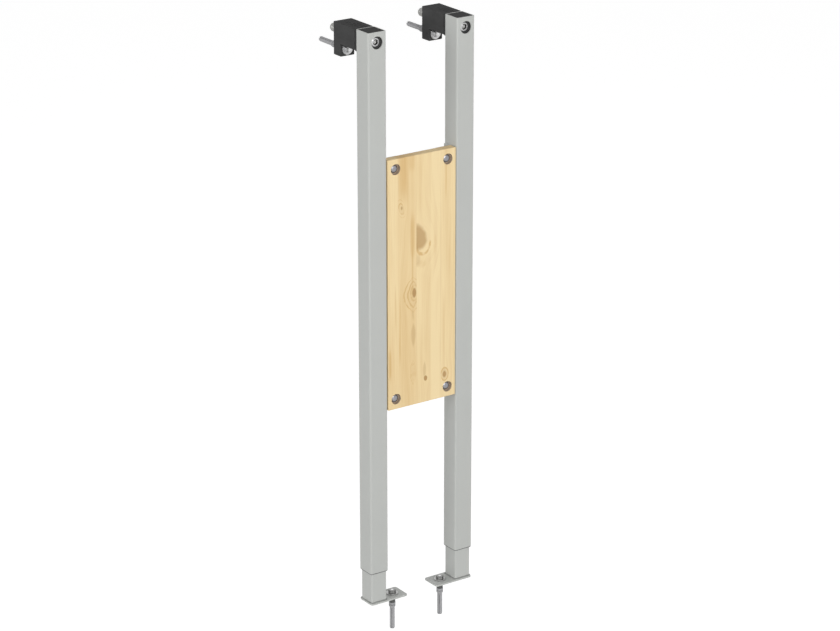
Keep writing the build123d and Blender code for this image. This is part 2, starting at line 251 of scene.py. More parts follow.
class Finish:
    """A material's node tree with short calls for the nodes that these finishes use."""

    def __init__(self, name):
        self.material = bpy.data.materials.new(name)
        self.material.use_nodes = True
        self.tree = self.material.node_tree
        self.shader = self.tree.nodes["Principled BSDF"]
        self.place = self.add("ShaderNodeTexCoord").outputs["Object"]

    def add(self, kind, **values):
        """Add a node and set its own values."""
        node = self.tree.nodes.new(kind)
        for key, value in values.items():
            setattr(node, key, value)
        return node

    def give(self, socket, value):
        """Link a socket to another one, or set it to a value."""
        if isinstance(value, bpy.types.NodeSocket):
            self.tree.links.new(value, socket)
        elif hasattr(value, "__len__") and socket.type == "RGBA":
            socket.default_value = (*value, 1.0)
        else:
            socket.default_value = value

    def maths(self, operation, *values, clamp=False):
        """Return the result of a math node."""
        node = self.add("ShaderNodeMath", operation=operation, use_clamp=clamp)
        for socket, value in zip(node.inputs, values):
            self.give(socket, value)
        return node.outputs[0]

    def plus(self, first, second, clamp=False):
        """Return a sum."""
        return self.maths("ADD", first, second, clamp=clamp)

    def minus(self, first, second):
        """Return a difference."""
        return self.maths("SUBTRACT", first, second)

    def times(self, first, second, clamp=False):
        """Return a product."""
        return self.maths("MULTIPLY", first, second, clamp=clamp)

    def squares(self, first, second):
        """Return the sum of two squares."""
        return self.plus(self.times(first, first), self.times(second, second))

    def split(self, vector):
        """Return a vector's three parts."""
        node = self.add("ShaderNodeSeparateXYZ")
        self.give(node.inputs[0], vector)
        return node.outputs

    def join(self, x, y, z):
        """Return a vector made of three parts."""
        node = self.add("ShaderNodeCombineXYZ")
        for socket, value in zip(node.inputs, (x, y, z)):
            self.give(socket, value)
        return node.outputs[0]

    def scaled(self, vector, factors):
        """Return a vector with each part multiplied."""
        node = self.add("ShaderNodeVectorMath", operation="MULTIPLY")
        self.give(node.inputs[0], vector)
        node.inputs[1].default_value = factors
        return node.outputs[0]

    def noise(self, vector, scale, detail=2.0, roughness=0.5):
        """Return a noise value around one half."""
        node = self.add("ShaderNodeTexNoise")
        self.give(node.inputs["Vector"], vector)
        node.inputs["Scale"].default_value = scale
        node.inputs["Detail"].default_value = detail
        node.inputs["Roughness"].default_value = roughness
        return node.outputs["Fac"]

    def ramp(self, value, low, high, to_low=0.0, to_high=1.0, smooth=True):
        """Return a value carried from one range to another and held at its ends."""
        kind = "SMOOTHSTEP" if smooth else "LINEAR"
        node = self.add("ShaderNodeMapRange", interpolation_type=kind, clamp=True)
        set_range(node, (low, high, to_low, to_high))
        self.give(node.inputs["Value"], value)
        return node.outputs["Result"]

    def mix(self, factor, first, second, blend="MIX"):
        """Return a mixed colour."""
        node = self.add("ShaderNodeMix", data_type="RGBA", blend_type=blend)
        self.give(node.inputs["Factor"], factor)
        self.give(node.inputs[6], first)
        self.give(node.inputs[7], second)
        return node.outputs[2]

    def bump(self, height, distance, strength=1.0, below=None):
        """Return a normal bent by a height in metres."""
        node = self.add("ShaderNodeBump")
        node.inputs["Strength"].default_value = strength
        node.inputs["Distance"].default_value = distance
        self.give(node.inputs["Height"], height)
        if below is not None:
            self.give(node.inputs["Normal"], below)
        return node.outputs["Normal"]

    def tint(self, base, value, amount):
        """Return a base colour made up to amount lighter or darker by a noise value."""
        shade = self.ramp(value, 0.25, 0.75, 1 - amount, 1 + amount, smooth=False)
        return self.mix(1.0, base, self.join(shade, shade, shade), "MULTIPLY")


def coat_finish(name, colour_of_coat):
    """Satin powder coat: an orange-peel surface, a faint cloudiness and specks of unmelted powder."""
    values = settings("coat_settings")
    finish = Finish(name)
    peel = finish.noise(finish.place, 1 / values.peel_size, 2.0, 0.45)
    clouds = finish.noise(finish.place, 9.0, 3.0, 0.55)
    specks = finish.ramp(finish.noise(finish.place, 2600.0, 0.0), 0.74, 0.82)
    base = finish.tint(colour_of_coat, clouds, 0.018)
    base = finish.mix(finish.times(specks, 0.18), base, (0.36, 0.37, 0.35))
    finish.give(finish.shader.inputs["Base Color"], base)
    rough = finish.ramp(peel, 0.3, 0.7, values.coat_roughness - 0.05, values.coat_roughness + 0.07)
    finish.give(finish.shader.inputs["Roughness"], rough)
    finish.shader.inputs["Specular IOR Level"].default_value = 0.42
    finish.give(finish.shader.inputs["Normal"], finish.bump(peel, 0.00006))
    return finish.material


def plastic_finish(name, colour_of_plastic):
    """Dark glass-filled moulding: fine spark grain and pale flow marks."""
    values = settings("coat_settings")
    finish = Finish(name)
    grain = finish.noise(finish.place, 2300.0, 3.0, 0.6)
    flow = finish.noise(finish.scaled(finish.place, (1.0, 0.35, 1.0)), 60.0, 4.0, 0.6)
    base = finish.tint(colour_of_plastic, flow, 0.16)
    finish.give(finish.shader.inputs["Base Color"], base)
    rough = finish.ramp(flow, 0.3, 0.7, values.plastic_roughness - 0.07, values.plastic_roughness + 0.1)
    finish.give(finish.shader.inputs["Roughness"], rough)
    finish.shader.inputs["Specular IOR Level"].default_value = 0.004
    finish.give(finish.shader.inputs["Normal"], finish.bump(grain, 0.00009))
    return finish.material


def metal_finish(name, base, roughness, streak):
    """Plated steel: soft spangle patches and fine rub marks that change its gloss."""
    finish = Finish(name)
    patches = finish.noise(finish.place, 320.0, 3.0, 0.6)
    rubs = finish.noise(finish.scaled(finish.place, (1.0, 1.0, streak)), 900.0, 2.0, 0.5)
    finish.give(finish.shader.inputs["Base Color"], finish.tint(base, patches, 0.12))
    finish.shader.inputs["Metallic"].default_value = 1.0
    rough = finish.plus(finish.ramp(patches, 0.3, 0.7, roughness - 0.06, roughness + 0.08),
                        finish.ramp(rubs, 0.3, 0.7, 0.0, 0.07))
    finish.give(finish.shader.inputs["Roughness"], rough)
    finish.give(finish.shader.inputs["Normal"], finish.bump(rubs, 0.00002))
    return finish.material


def nylon_finish(name, colour_of_nylon):
    """Nylon of the plugs: slightly waxy, with faint drag marks from its mould."""
    values = settings("coat_settings")
    finish = Finish(name)
    drag = finish.noise(finish.place, 700.0, 3.0, 0.55)
    finish.give(finish.shader.inputs["Base Color"], finish.tint(colour_of_nylon, drag, 0.07))
    rough = finish.ramp(drag, 0.3, 0.7, values.nylon_roughness - 0.05, values.nylon_roughness + 0.08)
    finish.give(finish.shader.inputs["Roughness"], rough)
    finish.shader.inputs["Subsurface Weight"].default_value = 0.06
    finish.shader.inputs["Subsurface Radius"].default_value = (0.001, 0.001, 0.001)
    finish.give(finish.shader.inputs["Normal"], finish.bump(drag, 0.00005))
    return finish.material


def knot_pattern(finish, knot, corner, across, up, lamella, wobble):
    """Return how one knot bends the grain and how dark its core and its rings are.

    With x and z the place from the knot's centre, counted in its half sizes, the distance is the
    root of x*x + z*z, and an eye's is the size of x and z*z added up. The core is where that is
    under 1, the rings are a sine of it that ends at its reach, and exp(-(x*x + z*z)/3) pushes the
    grain aside.
    """
    push_share, push_fall = 0.6, 0.33
    core_start = 0.72 if knot.form == "core" else 0.40
    core_end = 1.08
    ring_fade = 0.2
    rise = finish.minus(up, corner.z + knot.up * MM)
    from_centre = finish.minus(across, corner.x + knot.across * MM)
    from_centre = finish.plus(from_centre, finish.times(rise, knot.lean))
    x = finish.maths("DIVIDE", from_centre, knot.half_width * MM)
    z = finish.maths("DIVIDE", rise, knot.half_height * MM)
    square = finish.squares(x, z)
    inside = finish.maths("COMPARE", lamella, float(knot.lamella), 0.1)
    if knot.form == "eye":
        distance = finish.plus(finish.maths("ABSOLUTE", x), finish.times(z, z))
    else:
        distance = finish.maths("SQRT", square)
    distance = finish.plus(distance, wobble)
    fade = finish.times(inside, finish.maths("EXPONENT", finish.times(square, -push_fall)))
    push = finish.times(finish.times(from_centre, -push_share), fade)
    core = finish.times(finish.ramp(distance, core_start, core_end, knot.dark, 0.0), inside)
    wave = finish.maths("SINE", finish.times(distance, 2 * math.pi * knot.count))
    end = finish.ramp(distance, knot.reach, knot.reach + ring_fade, 1.0, 0.0)
    wave = finish.times(finish.ramp(wave, 0.1, 1.0), end)
    if knot.form == "bow":
        wave = finish.times(wave, finish.ramp(z, -0.1, 0.35, 1.0, 0.0))
        wave = finish.times(wave, finish.ramp(distance, 0.6, 0.8))
    rings = finish.times(finish.times(wave, inside), knot.rings)
    return push, core, rings


def streak_pattern(finish, streak, corner, across, up, lamella):
    """Return how dark one streak is: exp(-x to the power 4 - z to the power 4)."""
    x = finish.minus(across, corner.x + streak.across * MM)
    x = finish.maths("DIVIDE", x, streak.half_width * MM)
    z = finish.minus(up, corner.z + streak.up * MM)
    z = finish.maths("DIVIDE", z, streak.half_height * MM)
    x, z = (finish.maths("POWER", finish.maths("ABSOLUTE", part), 4.0) for part in (x, z))
    inside = finish.maths("COMPARE", lamella, float(streak.lamella), 0.1)
    fall = finish.maths("EXPONENT", finish.times(finish.plus(x, z), -1.0))
    return finish.times(finish.times(fall, inside), streak.dark)


def lamella_number(finish, across, joints):
    """Return which of the board's four glued boards a place lies in, from 0 to 3."""
    first, second, third = (finish.maths("GREATER_THAN", across, joint) for joint in joints)
    return finish.plus(finish.plus(first, second), third)


def lamella_tone(finish, lamella):
    """Return each glued board's own tone."""
    tone = 0.0
    for number, value in enumerate(LAMELLA_TONES):
        chosen = finish.maths("COMPARE", lamella, float(number), 0.1)
        tone = finish.plus(tone, finish.times(chosen, value))
    return tone


def grain_course(finish, across, up, lamella, corner):
    """Return the place across as the grain sees it, pushed aside by the knots and swaying along the
    board, with the darkness of the knots' cores and of their rings.
    """
    wobble_scale, wobble_share = 48.0, 0.45
    sway_scale, sway_width = 3.2, 0.016
    wobble = finish.minus(finish.noise(finish.place, wobble_scale, 3.0), 0.5)
    wobble = finish.times(wobble, wobble_share)
    bent = across
    core = rings = 0.0
    for knot in KNOTS:
        push, knot_core, knot_rings = knot_pattern(finish, knot, corner, across, up, lamella, wobble)
        bent = finish.plus(bent, push)
        core = finish.plus(core, knot_core)
        rings = finish.plus(rings, knot_rings)
    sway = finish.noise(finish.join(finish.times(lamella, 7.3), 0.0, up), sway_scale, 2.0)
    bent = finish.plus(bent, finish.times(finish.minus(sway, 0.5), sway_width))
    return bent, core, rings


def sapwood_share(finish, across, lamella, start):
    """Return where the third board's pale sapwood is."""
    share_there = finish.ramp(across, start - 3.0 * MM, start + 1.0 * MM)
    return finish.times(share_there, finish.maths("COMPARE", lamella, 2.0, 0.1))


def pine_finish():
    """Planed edge-glued pine: boards of their own tone, growth rings that pass round the knots,
    faint streaks, fine fibres along the grain, and darker end grain with its rings as arcs.
    """
    values = settings("timber_settings")
    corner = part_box("fixing_board")[0]
    joints = [corner.x + joint for joint in (values.first_joint, values.second_joint, values.third_joint)]
    board_shift, ring_stretch, fibre_stretch, fibre_scale = 0.31, 0.03, 0.02, 1300.0
    finish = Finish("planed_pine")
    across, through, up = finish.split(finish.place)
    lamella = lamella_number(finish, across, joints)
    bent, core, rings = grain_course(finish, across, up, lamella, corner)
    shifted = finish.plus(bent, finish.times(lamella, board_shift))
    place = finish.join(shifted, finish.times(through, 0.5), finish.times(up, ring_stretch))
    broad = finish.noise(place, 0.20 / values.ring_width, 2.0, 0.5)
    late = finish.noise(place, 0.8 / values.ring_width, 2.0, 0.6)
    place = finish.join(bent, through, finish.times(up, fibre_stretch))
    fibre = finish.noise(place, fibre_scale, 2.0, 0.65)
    tone = finish.plus(lamella_tone(finish, lamella), finish.ramp(broad, 0.3, 0.7, -0.10, 0.16))
    for streak in STREAKS:
        tone = finish.plus(tone, streak_pattern(finish, streak, corner, across, up, lamella))
    sapwood = sapwood_share(finish, across, lamella, corner.x + values.light_band)
    tone = finish.minus(tone, finish.times(sapwood, 0.2))
    tone = finish.plus(tone, finish.ramp(late, 0.35, 0.7, -0.04, 0.10))
    tone = finish.plus(tone, finish.ramp(fibre, 0.3, 0.7, -0.05, 0.06))
    broken = finish.ramp(finish.noise(finish.place, 75.0, 2.0), 0.36, 0.62, 0.25, 0.95)
    tone = finish.plus(tone, finish.times(rings, broken), clamp=True)
    wood = finish.mix(tone, values.pale, values.warm)
    wood = finish.mix(finish.times(core, 0.85, clamp=True), wood, values.knot)
    wood = end_grain(finish, wood, across, through, lamella)
    wood = finish.mix(finish.times(joint_lines(finish, across, joints), 0.22), wood, values.knot)
    # The bores' walls and floors take the bored wood colour: darker cut fibres with painted shade.
    wood = finish.mix(bore_shade_places(finish, across, through, up), wood, values.bore)
    finish.give(finish.shader.inputs["Base Color"], wood)
    rough = finish.ramp(late, 0.4, 0.7, values.grain_roughness + 0.04, values.grain_roughness - 0.06)
    finish.give(finish.shader.inputs["Roughness"], rough)
    finish.shader.inputs["Specular IOR Level"].default_value = 0.3
    normal = finish.bump(fibre, 0.06 * MM, below=finish.bump(late, 0.10 * MM))
    finish.give(finish.shader.inputs["Normal"], normal)
    return finish.material


def bore_shade_places(finish, across, through, up):
    """Return where the wall and floor of a bolt's bore take the bored wood colour, darker cut fibres with
    painted shade: near a bolt's axis, and behind the board's front face.
    """
    reach, fade = 11.2 * MM, 0.6 * MM
    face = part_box("fixing_board")[0].y
    near = 0.0
    for side in SIDES:
        for row in ROWS:
            centre = axis_centre(f"{side}_{row}_board_bolt", 1)
            square = finish.squares(finish.minus(across, centre[0]), finish.minus(up, centre[2]))
            disc = finish.ramp(finish.maths("SQRT", square), reach, reach + fade, 1.0, 0.0)
            near = finish.plus(near, disc)
    deep = finish.ramp(through, face + 0.2 * MM, face + 0.9 * MM)
    return finish.times(near, deep, clamp=True)


def end_grain(finish, wood, across, through, lamella):
    """Darken the sawn ends and draw the growth rings there as arcs round each board's own heart."""
    heart_step, first_heart, heart_depth = 0.041, 0.02, 0.03
    facing = finish.split(finish.add("ShaderNodeNewGeometry").outputs["Normal"])[2]
    mask = finish.ramp(finish.maths("ABSOLUTE", facing), 0.6, 0.8)
    heart = finish.plus(finish.times(lamella, heart_step), first_heart)
    square = finish.squares(finish.minus(across, heart), finish.minus(through, heart_depth))
    wave = finish.maths("SINE", finish.times(finish.maths("SQRT", square), 2400.0))
    share_of_dark = finish.plus(finish.times(finish.ramp(wave, 0.1, 1.0), 0.25), 0.15)
    return finish.mix(mask, wood, finish.mix(share_of_dark, wood, (0.42, 0.25, 0.10)))


def joint_lines(finish, across, places):
    """Return a thin line at each glue joint."""
    lines = 0.0
    for place in places:
        gap = finish.maths("ABSOLUTE", finish.minus(across, place))
        lines = finish.plus(lines, finish.ramp(gap, 0.08 * MM, 0.3 * MM, 1.0, 0.0))
    return lines


def dress(ending, material):
    """Give all CAD nodes whose names end so the same material."""
    members = [obj for name, obj in frame["nodes"].items() if name.endswith(ending)]
    if not members:
        raise RuntimeError(f"the frame has no piece whose name ends with {ending}")
    for obj in members:
        if not obj.material_slots:
            obj.data.materials.append(material)
        for place in obj.material_slots:
            place.material = material


def body_of(node):
    """Return the name of the body that carries a CAD node."""
    for body, members in frame["record"]["behaviour"]["bodies"].items():
        if node in members:
            return body
    raise RuntimeError(f"no body carries {node}")


def grid_mesh(name, points, closed_rows=False):
    """Make a mesh from rows of points that each run once round.

    Each row is joined to the next one, and its last point to its first. With closed_rows the last
    row is joined to the first, as on a ring. Otherwise each end is closed by a fan to its middle.
    """
    rows, columns = points.shape[:2]
    bands = rows if closed_rows else rows - 1
    i, j = np.meshgrid(np.arange(bands), np.arange(columns), indexing="ij")
    following = (j + 1) % columns
    above = (i + 1) % rows
    quads = np.stack([i * columns + j, i * columns + following,
                      above * columns + following, above * columns + j], axis=-1).reshape(-1, 4)
    corners = points.reshape(-1, 3)
    faces = quads.tolist()
    if not closed_rows:
        ends = np.stack([points[0].mean(axis=0), points[-1].mean(axis=0)])
        corners = np.concatenate([corners, ends])
        ring = np.arange(columns)
        after = (ring + 1) % columns
        first, last = rows * columns, rows * columns + 1
        start = np.stack([after, ring, np.full(columns, first)], axis=-1)
        base = (rows - 1) * columns
        end = np.stack([base + ring, base + after, np.full(columns, last)], axis=-1)
        faces += start.tolist() + end.tolist()
    mesh = bpy.data.meshes.new(name)
    mesh.from_pydata(corners.tolist(), [], faces)
    if signed_volume(mesh) < 0:
        mesh.flip_normals()
    mesh.update()
    return mesh


def signed_volume(mesh):
    """Return the volume inside a mesh: positive when its faces point outwards."""
    mesh.calc_loop_triangles()
    corners = np.empty(len(mesh.vertices) * 3)
    mesh.vertices.foreach_get("co", corners)
    triangles = np.empty(len(mesh.loop_triangles) * 3, np.int32)
    mesh.loop_triangles.foreach_get("vertices", triangles)
    a, b, c = np.moveaxis(corners.reshape(-1, 3)[triangles.reshape(-1, 3)], 1, 0)
    return float(np.einsum("ij,ij->i", a, np.cross(b, c)).sum() / 6)


def finish_piece(name, points, material, body, nodes=(), bevel=0.0, closed_rows=False, angle=32):
    """Turn a grid of points into a finished piece that rides on a body."""
    obj = bpy.data.objects.new(name, grid_mesh(name, points, closed_rows))
    bpy.context.scene.collection.objects.link(obj)
    obj.data.materials.append(material)
    obj.data.shade_smooth()
    if bevel:
        modifier = obj.modifiers.new("edges", "BEVEL")
        modifier.width = bevel
        modifier.segments = 2
        modifier.limit_method = "ANGLE"
        modifier.angle_limit = math.radians(angle)
        modifier.harden_normals = True
    else:
        obj.data.set_sharp_from_angle(angle=math.radians(angle))
    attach(obj, body)
    if nodes:
        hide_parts(*nodes)
    return obj


# Rows of faces that another material takes: on the screws the crown, as a painted highlight; on the plugs
# the rim and its grooves, as painted shade; and on the spindles the socket's floor, its wall and the thread's
# first row, as painted shade.
CROWN_HIGHLIGHT_ROWS = (8, 9)
PLUG_SHADE_ROWS = ((0, 6), (9, 10), (12, 14))
FLOOR_ROWS = (0, 1)
WALL_ROWS = (1, 3)
FIRST_THREAD_ROW = 9


def line_rows(obj, material, columns, first, last):
    """Give the faces between two rows of a grid another material."""
    if material.name not in obj.data.materials:
        obj.data.materials.append(material)
    index = np.empty(len(obj.data.polygons), np.int32)
    obj.data.polygons.foreach_get("material_index", index)
    index[first * columns:last * columns] = obj.data.materials.find(material.name)
    obj.data.polygons.foreach_set("material_index", index)


def around(radius, height, columns, origin, axes):
    """Points at radius(row, angle) and height(row, angle) round an axis.

    Each is origin + r cos(a) across + r sin(a) up + h along. The radius and height are arrays with a
    row for each ring, and either one column or as many as there are angles.
    """
    angle = np.linspace(0, 2 * math.pi, columns, endpoint=False)
    radius, height = np.broadcast_arrays(radius, height, np.empty((1, columns)))[:2]
    local = np.stack([radius * np.cos(angle), radius * np.sin(angle), height], axis=-1)
    return np.asarray(origin, float) + local @ axes


def hexagon(flats, columns):
    """Radius of a hexagon at each angle: half its flats over the cosine of the angle to a flat's middle."""
    angle = np.linspace(0, 2 * math.pi, columns, endpoint=False)
    from_flat = np.mod(angle + math.pi / 6, math.pi / 3) - math.pi / 6
    return flats / 2 / np.cos(from_flat)


def thread(height, columns, pitch, depth):
    """How far a thread's surface lies below its crest at each height and angle.

    The phase is height over pitch less the turn, and a trapezium of it gives the flanks.
    """
    turn = np.linspace(0, 1, columns, endpoint=False)
    phase = np.mod(height / pitch - turn, 1)
    flank = np.clip((np.abs(phase - 0.5) - 0.14) / 0.22, 0, 1)
    return depth * flank


def column(*values):
    """Stack numbers and arrays of angles into rows."""
    width = max(np.size(value) for value in values)
    return np.stack([np.broadcast_to(np.asarray(value, float), (width,)) for value in values])


def axis_centre(node, along):
    """Return the middle of a node's box with its part along an axis set to nought."""
    low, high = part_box(node)
    centre = (low + high) / 2
    centre[along] = 0.0
    return np.array(centre)


# A hexagon head's upper edges drop with a cone of 30 degrees from this share of its inner circle.
INNER_CIRCLE = 0.93
CONE = math.tan(math.radians(30))


def screw_points(flats, head, shank, seat, end, origin, axes, columns=72):
    """Hexagon-head screw about its axis, from the shank's end to the middle of its crowned head.

    The head's wall is the hexagon's radius, and its upper edge drops with a cone of 30 degrees from
    the circle inside the flats, which gives the arcs on the six faces.
    """
    six = hexagon(flats, columns)
    inner = flats / 2 * INNER_CIRCLE
    drop = (six - inner) * CONE
    step = 0.35 * MM
    neck = flats * 0.47
    shoulder, crown, middle = inner * 0.8, inner * 0.42, inner * 0.1
    top = seat + head
    radius = column(0.55 * shank, shank, shank, neck, neck, six, six, shoulder, crown, middle)
    height = column(end, end + 0.4 * shank, seat, seat, seat + step, seat + step,
                    top - drop, top - 0.12 * MM, top - 0.04 * MM, top)
    return around(radius, height, columns, origin, axes)


def washer_points(outer, inner, low, high, origin, axes, columns=72, rows=24):
    """Flat washer: its section is a superellipse, so that its faces are flat and its rims round."""
    turn = np.linspace(0, 2 * math.pi, rows, endpoint=False)[:, None]
    side = np.sign(np.cos(turn)) * np.abs(np.cos(turn)) ** 0.3
    rise = np.sign(np.sin(turn)) * np.abs(np.sin(turn)) ** 0.3
    radius = (outer + inner) / 2 + (outer - inner) / 2 * side
    height = (low + high) / 2 + (high - low) / 2 * rise
    return around(radius, height, columns, origin, axes)


def plug_points(values, collar, tip_end, origin, axes, columns=96):
    """Wall plug from its bore's floor, over its lip and its grooved collar and down its body to the tip.

    The body's radius is less by four slots and twelve shallow flutes, both cosines of the angle, and
    by barbs that are a saw of the height. Slots and barbs fade in behind the collar.
    """
    bore = values.plug_bore / 2
    body = values.plug_body / 2
    groove = collar - 1.0 * MM
    rim = collar - 0.4 * MM
    floor, mouth = -50.0 * MM, -0.3 * MM
    angle = np.linspace(0, 2 * math.pi, columns, endpoint=False)
    slots = np.clip(np.cos(4 * angle + math.pi) * 4 - 3, 0, 1) * values.plug_slot_depth
    flutes = 0.16 * MM * (0.5 - 0.5 * np.cos(12 * angle))
    collar_end = mouth - values.plug_collar_length
    tip = tip_end + 6.0 * MM
    heights = np.linspace(collar_end - 1.2 * MM, tip, 60)[:, None]
    fade = np.clip((collar_end - heights) / (3.0 * MM) - 0.4, 0, 1)
    barbs = 0.28 * MM * np.mod((collar_end - heights) / (5.5 * MM), 1)
    shaft = body - (barbs + flutes + slots) * fade
    tip_slots = body * np.array([0.98, 0.95, 0.84])[:, None] - slots
    tip_rows = np.array([tip - 1.2 * MM, tip_end + 1.0 * MM, tip_end])[:, None]
    start = column(np.full(columns, bore * 0.6), bore, bore, rim, rim, groove, groove, collar, collar,
                   groove, groove, collar, collar, groove, body)
    upper = [mouth - step * MM for step in (14.2, 14.4, 15.0, 15.2)]
    lower = [collar_end + step * MM for step in (4.9, 4.7, 3.7, 3.5, 0.9, 0.5)]
    start_rows = column(np.full(columns, floor), floor, mouth, mouth, *upper, *lower, collar_end)
    radius = np.concatenate([start, np.broadcast_to(shaft, (60, columns)), tip_slots])
    height = np.concatenate([start_rows, np.broadcast_to(heights, (60, columns)),
                             np.broadcast_to(tip_rows, (3, columns))])
    return around(radius, height, columns, origin, axes)


def spindle_points(values, radius, front, back, threaded, origin, axes, columns=72):
    """Depth spindle from its socket's floor, over the front ring and back along its thread to the dome.

    The socket's wall is a hexagon's radius. The thread fades in over a pitch, and the rear end is a
    quarter circle that the thread runs out into.
    """
    six = hexagon(values.socket_flats, columns)
    rim = values.socket_flats / 2 * 1.17
    start = column(six * 0.4, six * 0.98, six, six, rim, radius - 1.1 * MM, radius - 0.5 * MM, radius,
                   radius, radius)
    floor = front + values.socket_depth
    start_rows = column(np.full(columns, floor + 1.5 * MM), floor, floor - 0.2 * MM, front + 0.9 * MM,
                        front, front, front + 0.15 * MM, front + 0.7 * MM, front + 20 * MM, threaded)
    round_end = 6.0 * MM
    heights = np.arange(threaded + 0.3 * MM, back - round_end, values.spindle_pitch / 12)[:, None]
    fade = np.clip((heights - threaded) / values.spindle_pitch, 0, 1)
    cut = thread(heights, columns, values.spindle_pitch, values.spindle_thread_depth) * fade
    turn = np.linspace(0, math.radians(84), 12)[:, None]
    dome_radius = radius - round_end * (1 - np.cos(turn))
    dome_rows = back - round_end + round_end * np.sin(turn)
    end_cut = thread(dome_rows, columns, values.spindle_pitch, values.spindle_thread_depth)
    end_cut = end_cut * np.clip(1 - turn / 0.9, 0, 1)
    all_radius = np.concatenate([start, radius - cut, dome_radius - end_cut])
    all_rows = np.concatenate([start_rows, np.broadcast_to(heights, (len(heights), columns)),
                               np.broadcast_to(dome_rows, (len(turn), columns))])
    return around(all_radius, all_rows, columns, origin, axes)


def bolt_points(values, head_radius, head, end, origin, axes, columns=64):
    """Board bolt from its threaded end to the middle of its domed head.

    The dome's height over the seat is head times the root of 1 less the radius share to the power 2.6.
    """
    shank = values.bolt_shank / 2
    threaded = end + 13.0 * MM
    heights = np.arange(end + 0.6 * MM, threaded, values.bolt_pitch / 8)[:, None]
    fade = np.clip((threaded - heights) / values.bolt_pitch, 0, 1)
    cut = thread(heights, columns, values.bolt_pitch, values.bolt_thread_depth) * fade
    shares = np.concatenate([np.linspace(1, 0.9, 5), np.linspace(0.85, 0.12, 12)])[:, None]
    dome = 0.5 * MM + (head - 0.5 * MM) * np.sqrt(np.clip(1 - shares ** 2.6, 0, 1))
    start = column(np.full(columns, shank * 0.5), shank - values.bolt_thread_depth)
    start_rows = column(np.full(columns, end), end)
    neck = column(np.full(columns, shank), shank, head_radius - 0.3 * MM, head_radius)
    neck_rows = column(np.full(columns, threaded), 0.0, 0.0, 0.25 * MM)
    crown = np.broadcast_to(shares * head_radius, (len(shares), columns))
    radius = np.concatenate([start, shank - cut, neck, crown])
    height = np.concatenate([start_rows, np.broadcast_to(heights, (len(heights), columns)), neck_rows,
                             np.broadcast_to(dome, crown.shape)])
    return around(radius, height, columns, origin, axes)


def nut_points(flats, bore, low, high, origin, axes, columns=72):
    """Hexagon nut: a ring whose outer wall is the hexagon's radius, cut by a cone at both faces."""
    six = hexagon(flats, columns)
    inner = flats / 2 * INNER_CIRCLE
    drop = (six - inner) * CONE
    radius = column(inner, six, six, inner, bore * 1.12, bore, bore, bore * 1.12)
    height = column(low, low + drop, high - drop, high, high, high - 0.5 * MM, low + 0.5 * MM, low)
    return around(radius, height, columns, origin, axes)


def square_path(half, corner, samples):
    """Points and outward directions round a square with round corners, in plan, evenly by length."""
    straight = 2 * (half - corner)
    quarter = math.pi * corner / 2
    side = straight + quarter
    distance = np.linspace(0, 4 * side, samples, endpoint=False)
    corner_number = np.floor(distance / side)
    along = distance - corner_number * side
    bend = np.clip((along - straight) / quarter, 0, 1) * math.pi / 2
    run = np.minimum(along, straight) - straight / 2
    x = (half - corner) + corner * np.cos(bend)
    y = np.where(along < straight, run, straight / 2 + corner * np.sin(bend))
    turn = corner_number * math.pi / 2
    turned_x = x * np.cos(turn) - y * np.sin(turn)
    turned_y = x * np.sin(turn) + y * np.cos(turn)
    points = np.stack([turned_x, turned_y], axis=-1)
    outward = np.stack([np.cos(turn + bend), np.sin(turn + bend)], axis=-1)
    return points, outward, distance


def bead_section(radius, distance, ripple, rows=9):
    """Reach and rise of a fillet weld's section at each place along it.

    The section is a quarter circle between wall and seat, a little flattened, and its radius swells
    and shrinks by a rounded saw of the distance, like laid coins. The last points go inside the corner.
    """
    swell = 1 - 0.16 * np.mod(distance / ripple, 1) ** 2 + 0.05 * np.sin(distance / ripple * 0.9)
    turn = np.linspace(0, math.pi / 2, rows)
    reach = np.append(np.cos(turn) ** 0.8, -0.2)
    rise = np.append(np.sin(turn) ** 0.8, -0.15)
    return radius * swell[None, :] * reach[:, None], radius * swell[None, :] * rise[:, None]


class WALLFRAME_OT_coat(bpy.types.Operator):
    """Give the uprights, feet and angle lugs their powder coat"""
    bl_idname = "wallframe.coat"
    bl_label = "Powder coat the steel"

    def execute(self, context):
        material = coat_finish("powder_coat", settings("coat_settings").coat)
        for ending in ("_upright", "_foot_tube", "_foot_plate", "_board_angle"):
            dress(ending, material)
        return {"FINISHED"}


class WALLFRAME_OT_plastic(bpy.types.Operator):
    """Give the wall brackets, depth guides and top inserts their moulded finish"""
    bl_idname = "wallframe.plastic"
    bl_label = "Finish the black mouldings"

    def execute(self, context):
        material = plastic_finish("black_plastic", settings("coat_settings").plastic)
        for ending in ("_wall_bracket", "_depth_guide", "_top_insert"):
            dress(ending, material)
        return {"FINISHED"}


class WALLFRAME_OT_sleeves(bpy.types.Operator):
    """Fit the slide sleeves under the uprights' lower ends, near black to paint the shade line under each rim"""
    bl_idname = "wallframe.sleeves"
    bl_label = "Fit the foot sleeves"

    def execute(self, context):
        values = settings("weld_settings")
        # The sleeves' near-black plastic paints the shade line under each upright's rim.
        material = plastic_finish("sleeve_shade_plastic", settings("coat_settings").sleeve)
        for side in SIDES:
            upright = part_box(f"{side}_upright")
            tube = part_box(f"{side}_foot_tube")
            inner = (tube[1].x - tube[0].x) / 2 + 0.12 * MM
            outer = (upright[1].x - upright[0].x) / 2 - 0.5 * MM
            middle = (upright[0] + upright[1]) / 2
            rim = upright[0].z
            seam, edge, lip = 0.02, -1.4, -1.7
            heights = np.array([seam, edge, lip, lip, seam])[:, None] * MM + rim
            halves = (outer, outer, outer - 0.4 * MM, inner, inner)
            rings = [square_path(half, values.tube_corner, 160)[0] for half in halves]
            plan = np.stack(rings) + np.array((middle.x, middle.y))
            points = np.concatenate([plan, np.broadcast_to(heights[:, :, None], (5, 160, 1))], axis=-1)
            finish_piece(f"{side}_foot_shade_sleeve", points, material, "frame",
                         closed_rows=True)
        return {"FINISHED"}


